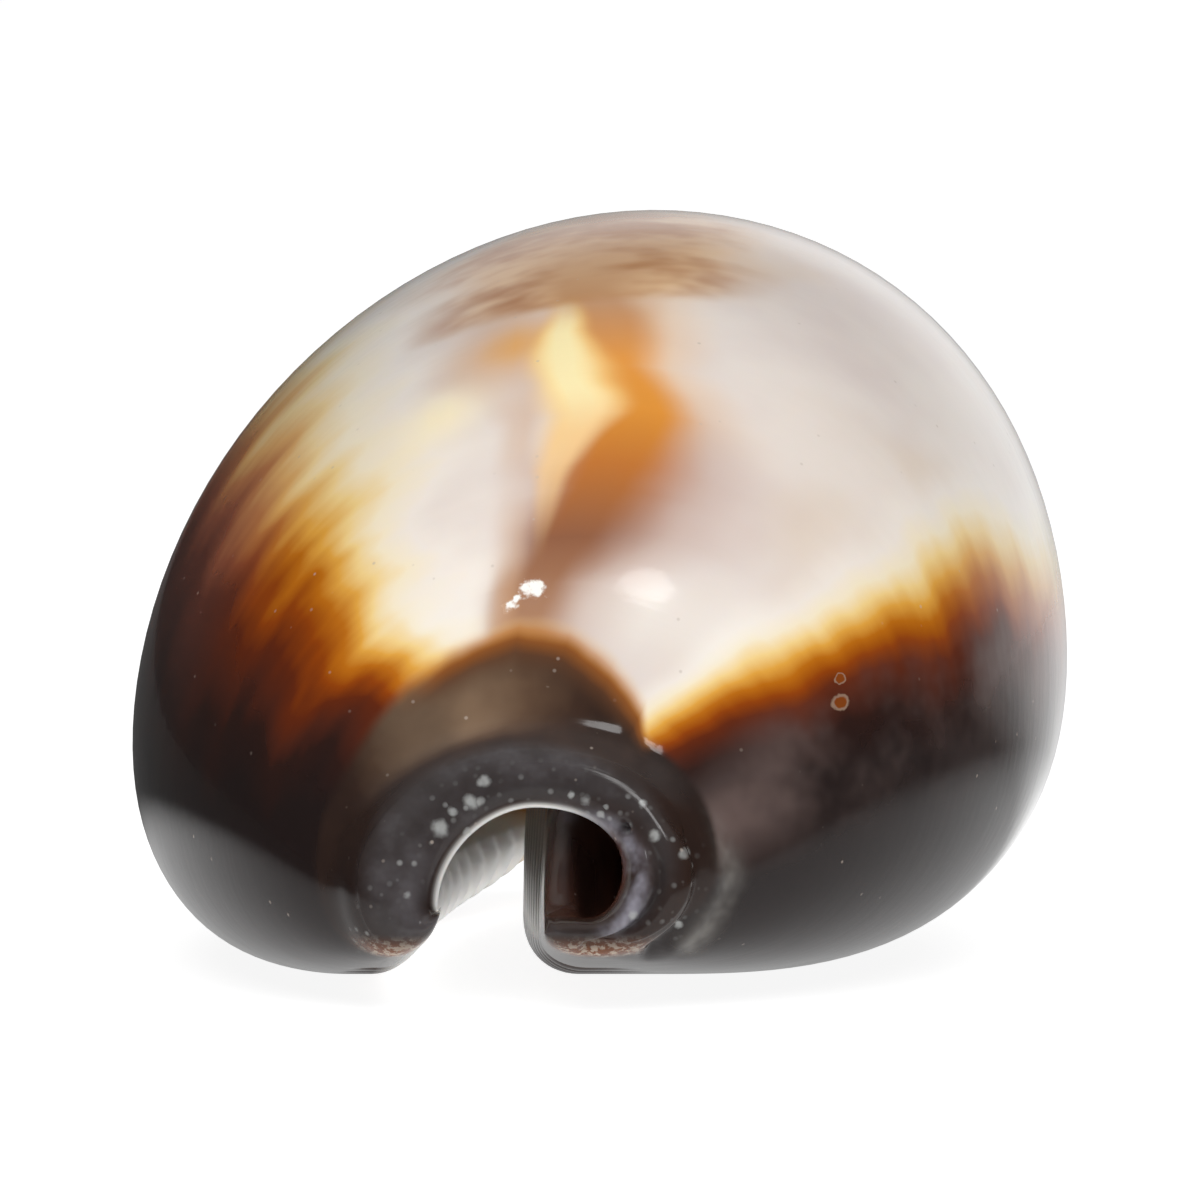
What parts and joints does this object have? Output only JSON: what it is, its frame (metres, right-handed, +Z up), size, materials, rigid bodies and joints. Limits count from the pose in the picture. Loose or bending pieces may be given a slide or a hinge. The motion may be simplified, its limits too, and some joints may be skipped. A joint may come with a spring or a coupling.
{
  "type": "cowrie shell",
  "caption": "Egg-shaped cowrie shell, domed on top and nearly flat below, with a long toothed slit along its base and a short open canal at each end.",
  "frame": {"origin": "under the middle of the shell, on the surface that its base rests on", "axes": "-Y towards the front (siphonal) end, +Y towards the back (spire) end, +Z up through the back, -X the outer lip's side, +X the side of the columella"},
  "size_m": [0.0254, 0.04, 0.02],
  "materials": {
    "shell": "naturally glossy enamel, lilac-white on the back through amber and rust to blackish brown on the sides and base"
  },
  "bodies": {
    "root": {"shell": "shell"}
  },
  "joints": []
}
